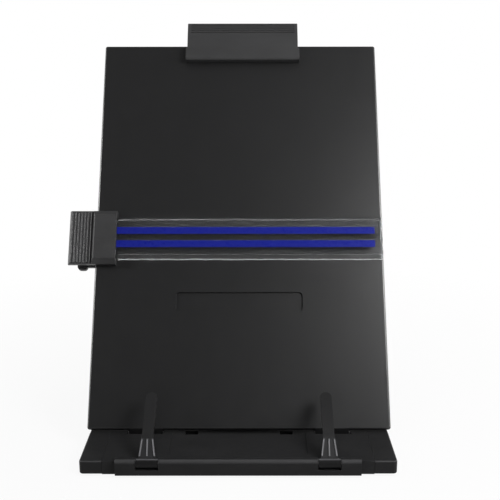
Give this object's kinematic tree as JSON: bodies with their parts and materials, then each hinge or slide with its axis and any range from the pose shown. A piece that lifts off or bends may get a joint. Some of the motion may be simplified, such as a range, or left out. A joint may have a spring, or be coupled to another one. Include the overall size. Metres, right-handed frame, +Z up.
{
  "type": "copy holder with line guide",
  "caption": "Desk copy holder: a reclined sheet-steel easel board on a ledge base, with page fingers, a sliding clear line guide and a sliding top clip",
  "frame": {"origin": "middle of the underside of the rubber strip under the front of the ledge, on the desk", "axes": "+Z up, +X to the reader's right, +Y to the back; the page faces -Y"},
  "size_m": [0.262, 0.2357, 0.3249],
  "materials": {
    "board_paint": "fine matt powder coat, dark charcoal",
    "leg_paint": "matt black powder coat",
    "base_plastic": "fine-textured black moulding",
    "lip_plastic": "satin black moulding",
    "clip_plastic": "satin charcoal moulding",
    "finger_plastic": "smoky gloss black moulding",
    "clear_plastic": "clear polished plastic",
    "line_blue": "printed dark blue",
    "pin_steel": "bright plated steel",
    "spring_steel": "spring wire",
    "rubber": "matt black rubber"
  },
  "bodies": {
    "base": {"base_ledge": "base_plastic", "rear_frame": "base_plastic", "notch_rail_left": "base_plastic", "notch_rail_right": "base_plastic", "front_lip": "lip_plastic", "base_screws": "pin_steel", "feet": "rubber", "front_grip_strip": "rubber", "end_cap_left": "base_plastic", "end_cap_right": "base_plastic", "board_hinge_pin_left": "pin_steel", "board_hinge_pin_right": "pin_steel", "finger_pin_left": "pin_steel", "finger_pin_right": "pin_steel", "finger_spring_left": "spring_steel", "finger_spring_right": "spring_steel"},
    "board": {"board_panel": "board_paint", "leg_bracket": "leg_paint", "leg_hinge_pin": "pin_steel"},
    "leg": {"support_leg": "leg_paint", "leg_foot_rod": "pin_steel"},
    "finger_left": {"page_finger_left": "finger_plastic"},
    "finger_right": {"page_finger_right": "finger_plastic"},
    "guide_carriage": {"guide_rear_jaw": "clip_plastic", "guide_pad": "rubber", "guide_pivot_pin": "pin_steel", "guide_spring": "spring_steel"},
    "guide_front": {"guide_front_jaw": "clip_plastic", "guide_strip": "clear_plastic", "guide_rivets": "pin_steel", "guide_line_upper": "line_blue", "guide_line_lower": "line_blue"},
    "clip_carriage": {"clip_rear_jaw": "clip_plastic", "clip_pad": "rubber", "clip_pivot_pin": "pin_steel", "clip_spring": "spring_steel"},
    "clip_front": {"clip_front_jaw": "clip_plastic"}
  },
  "joints": [
    {"name": "board_tilt", "type": "hinge", "parent": "base", "child": "board", "pos_m": [0, 0.04487, 0.008], "axis": [1, 0, 0], "range_deg": [-60, 15]},
    {"name": "leg_swing", "type": "hinge", "parent": "board", "child": "leg", "pos_m": [0, 0.09762, 0.09937], "axis": [1, 0, 0], "range_deg": [-30, 120]},
    {"name": "finger_left_swing", "type": "hinge", "parent": "base", "child": "finger_left", "pos_m": [-0.0675, -0.0077, 0.0102], "axis": [1, 0, 0], "range_deg": [0, 80], "stiffness_Nm_per_rad": 0.02, "springref_deg": -34.38},
    {"name": "finger_right_swing", "type": "hinge", "parent": "base", "child": "finger_right", "pos_m": [0.0675, -0.0077, 0.0102], "axis": [1, 0, 0], "range_deg": [0, 80], "stiffness_Nm_per_rad": 0.02, "springref_deg": -34.38},
    {"name": "guide_slide", "type": "slide", "parent": "board", "child": "guide_carriage", "axis": [0, 0.5, 0.866], "range_m": [-0.097, 0.135]},
    {"name": "guide_squeeze", "type": "hinge", "parent": "guide_carriage", "child": "guide_front", "pos_m": [-0.126, 0.12041, 0.14844], "axis": [0, -0.5, -0.866], "range_deg": [0, 10], "stiffness_Nm_per_rad": 0.5, "springref_deg": -28.65},
    {"name": "clip_slide", "type": "slide", "parent": "board", "child": "clip_carriage", "axis": [1, 0, 0], "range_m": [-0.062, 0.062]},
    {"name": "clip_squeeze", "type": "hinge", "parent": "clip_carriage", "child": "clip_front", "pos_m": [0.0023, 0.21321, 0.30918], "axis": [-1, 0, 0], "range_deg": [0, 12], "stiffness_Nm_per_rad": 0.4, "springref_deg": -28.65}
  ],
  "couplings": [
    {"joint": "leg_swing", "follows": "board_tilt", "ratio": -2}
  ]
}
